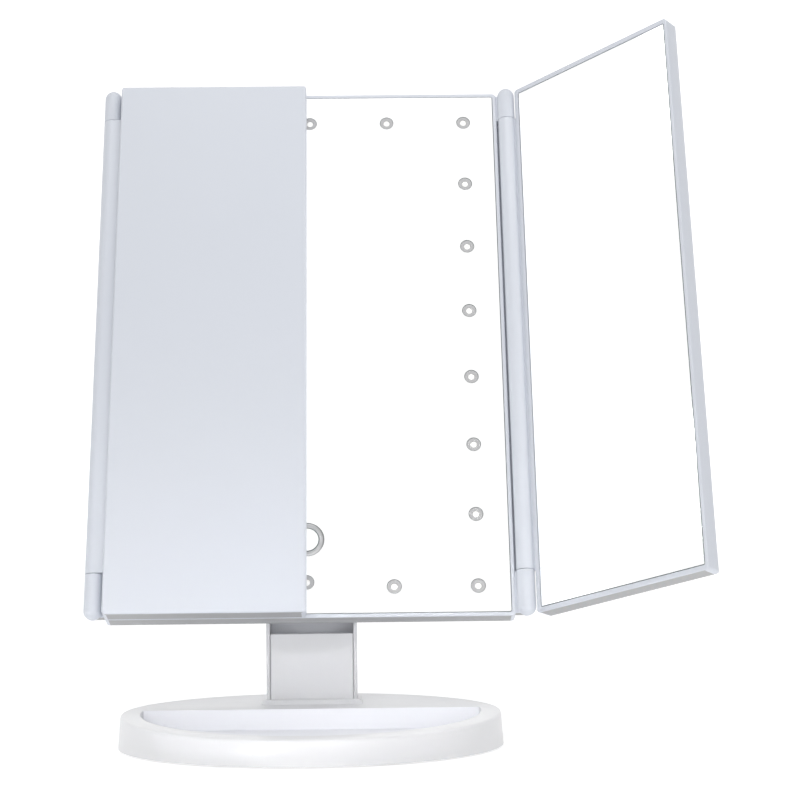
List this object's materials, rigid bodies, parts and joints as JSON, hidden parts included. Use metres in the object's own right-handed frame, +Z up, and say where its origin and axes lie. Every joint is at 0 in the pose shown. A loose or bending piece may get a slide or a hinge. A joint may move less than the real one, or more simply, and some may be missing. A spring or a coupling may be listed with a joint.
{
  "type": "trifold vanity mirror",
  "caption": "Tabletop trifold vanity mirror with hinged wing mirrors, a lit centre panel with a touch control, a tilting neck and an oval tray foot.",
  "frame": {"origin": "centre of the flat face under the foot's pad, on the table", "axes": "+X to the right of the person who looks into the mirror, +Y away from them to the back, +Z up"},
  "size_m": [0.2511, 0.1595, 0.3042],
  "materials": {
    "white_plastic": "moulded white ABS, satin to glossy",
    "bottom_plastic": "moulded white ABS, fine matt texture",
    "grip_rubber": "soft anti-slip foam rubber",
    "plated_steel": "zinc and nickel plated steel",
    "bright_steel": "ground steel",
    "ballast_steel": "plain steel plate",
    "nylon": "natural nylon",
    "hinge_resin": "glass-filled white resin",
    "mirror_glass": "silvered float glass",
    "adhesive_foam": "thin double-sided foam",
    "circuit_board": "white solder mask on glass-fibre board",
    "lamp_resin": "clear and phosphor-filled resin",
    "cup_plastic": "grey-white moulded ring",
    "bright_ring": "bright plated ring",
    "black_plastic": "black moulded resin",
    "knob_plastic": "white moulded knob",
    "cell_jacket": "plain wrapped cells",
    "lead_insulation": "stranded wire in insulation"
  },
  "bodies": {
    "stand": {"base_shell": "white_plastic", "base_bottom": "bottom_plastic", "base_weight": "ballast_steel", "base_pad": "grip_rubber", "base_screws": "plated_steel", "neck_back": "white_plastic", "neck_front": "white_plastic", "neck_screws": "plated_steel", "pivot_shaft": "bright_steel", "friction_washers": "nylon", "spring_washers": "plated_steel", "pivot_nut": "plated_steel", "pivot_caps": "white_plastic"},
    "head": {"hinge_block": "hinge_resin", "hinge_block_screws": "plated_steel", "centre_frame": "white_plastic", "centre_glass": "mirror_glass", "glass_tape": "adhesive_foam", "led_board": "circuit_board", "led_chips": "lamp_resin", "led_cups": "cup_plastic", "touch_ring": "bright_ring", "touch_cap": "mirror_glass", "touch_pad": "black_plastic", "control_board": "circuit_board", "usb_port": "plated_steel", "switch_housing": "black_plastic", "rear_cover": "white_plastic", "rear_screws": "plated_steel", "battery_cells": "cell_jacket", "battery_contacts": "plated_steel", "battery_leads": "lead_insulation", "left_hinge_pins": "bright_steel", "right_hinge_pins": "bright_steel"},
    "left_wing": {"left_wing_shell": "white_plastic", "left_mirror_upper": "mirror_glass", "left_mirror_lower": "mirror_glass", "left_wing_tape": "adhesive_foam", "left_hinge_bushes": "nylon"},
    "right_wing": {"right_wing_shell": "white_plastic", "right_mirror": "mirror_glass", "right_wing_tape": "adhesive_foam", "right_hinge_bushes": "nylon"},
    "power_switch": {"power_switch": "knob_plastic"},
    "battery_door": {"battery_door": "white_plastic"}
  },
  "joints": [
    {"name": "panel_tilt", "type": "hinge", "parent": "stand", "child": "head", "pos_m": [0, 0.025, 0.062], "axis": [-1, 0, 0], "range_deg": [-31.5, 70]},
    {"name": "left_wing_hinge", "type": "hinge", "parent": "head", "child": "left_wing", "pos_m": [-0.08895, 0.00006, 0.05224], "axis": [0, -0.342, -0.9397], "range_deg": [0, 180]},
    {"name": "right_wing_hinge", "type": "hinge", "parent": "head", "child": "right_wing", "pos_m": [0.08895, 0.00006, 0.05224], "axis": [0, 0.342, 0.9397], "range_deg": [-137, 43]},
    {"name": "power_switch_slide", "type": "slide", "parent": "head", "child": "power_switch", "axis": [0, 0.342, 0.9397], "range_m": [0, 0.004]},
    {"name": "battery_door_slide", "type": "slide", "parent": "head", "child": "battery_door", "axis": [0, -0.342, -0.9397], "range_m": [0, 0.008]}
  ]
}
